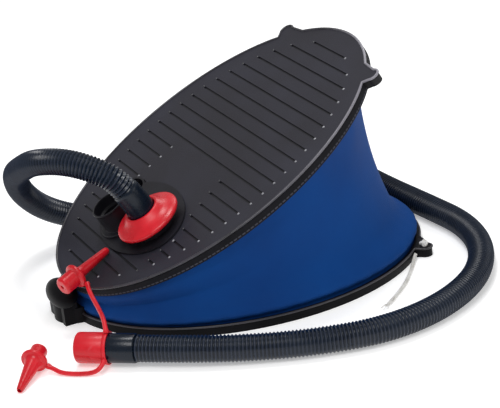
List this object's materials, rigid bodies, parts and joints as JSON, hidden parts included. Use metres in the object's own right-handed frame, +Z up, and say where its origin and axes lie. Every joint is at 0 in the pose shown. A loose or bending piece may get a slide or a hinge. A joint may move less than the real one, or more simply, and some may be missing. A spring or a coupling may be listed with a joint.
{
  "type": "foot air pump",
  "caption": "Foot air pump: a grooved egg-shaped pedal hinged to a flat base, a fabric bellows and spring between them, a ribbed hose with a push-in plug, and tethered nozzles.",
  "frame": {"origin": "middle of the base's flat underside, on the floor", "axes": "+X towards the wide raised end of the pedal, away from the hinge; +Y across the plate, away from the side where the free hose end lies; +Z up"},
  "size_m": [0.3927, 0.3457, 0.1643],
  "materials": {
    "black_plastic": "satin moulded",
    "pale_plastic": "small polished moulding pips",
    "blue_fabric": "coated woven fabric, slight sheen",
    "steel": "bright",
    "rubber": "matte",
    "hose_plastic": "semi-gloss soft plastic",
    "red_plastic": "soft glossy",
    "white_cord": "braided"
  },
  "bodies": {
    "base": {"base_plate": "black_plastic", "base_clamp_ring": "black_plastic", "hinge_pin": "steel", "base_spring_seat": "black_plastic", "bellows_skin": "blue_fabric", "coil_spring": "steel", "hose": "hose_plastic", "hose_cuff_nozzle_end": "hose_plastic", "nozzle_connector": "red_plastic", "tether_ring": "red_plastic", "upper_tether": "red_plastic", "lower_tether": "red_plastic", "short_nozzle": "red_plastic", "closure_cord": "white_cord", "cord_knot": "white_cord"},
    "pedal": {"pedal_plate": "black_plastic", "groove_pips": "pale_plastic", "pedal_clamp_ring": "black_plastic", "pedal_spring_seat": "black_plastic", "port_plate": "black_plastic", "deflate_tube": "black_plastic", "port_gasket": "rubber", "port_screws": "steel", "outlet_valve_cage": "black_plastic", "inlet_valve_cage": "black_plastic", "hose_plug": "red_plastic", "hose_cuff_pump_end": "hose_plastic", "long_nozzle": "red_plastic"},
    "outlet_valve": {"outlet_valve_disc": "rubber"},
    "inlet_valve": {"inlet_valve_disc": "rubber"}
  },
  "joints": [
    {"name": "pedal_hinge", "type": "hinge", "parent": "base", "child": "pedal", "pos_m": [-0.1494, 0, 0.0197], "axis": [0, 1, 0], "range_deg": [0, 26], "stiffness_Nm_per_rad": 13, "springref_deg": -8.59, "deforming": ["bellows_skin", "coil_spring", "upper_tether"]},
    {"name": "outlet_valve_lift", "type": "slide", "parent": "pedal", "child": "outlet_valve", "axis": [-0.4695, 0, 0.8829], "range_m": [0, 0.003], "stiffness_N_per_m": 60, "springref_m": -0.002},
    {"name": "inlet_valve_lift", "type": "slide", "parent": "pedal", "child": "inlet_valve", "axis": [0.4695, 0, -0.8829], "range_m": [0, 0.003], "stiffness_N_per_m": 60, "springref_m": -0.002}
  ]
}
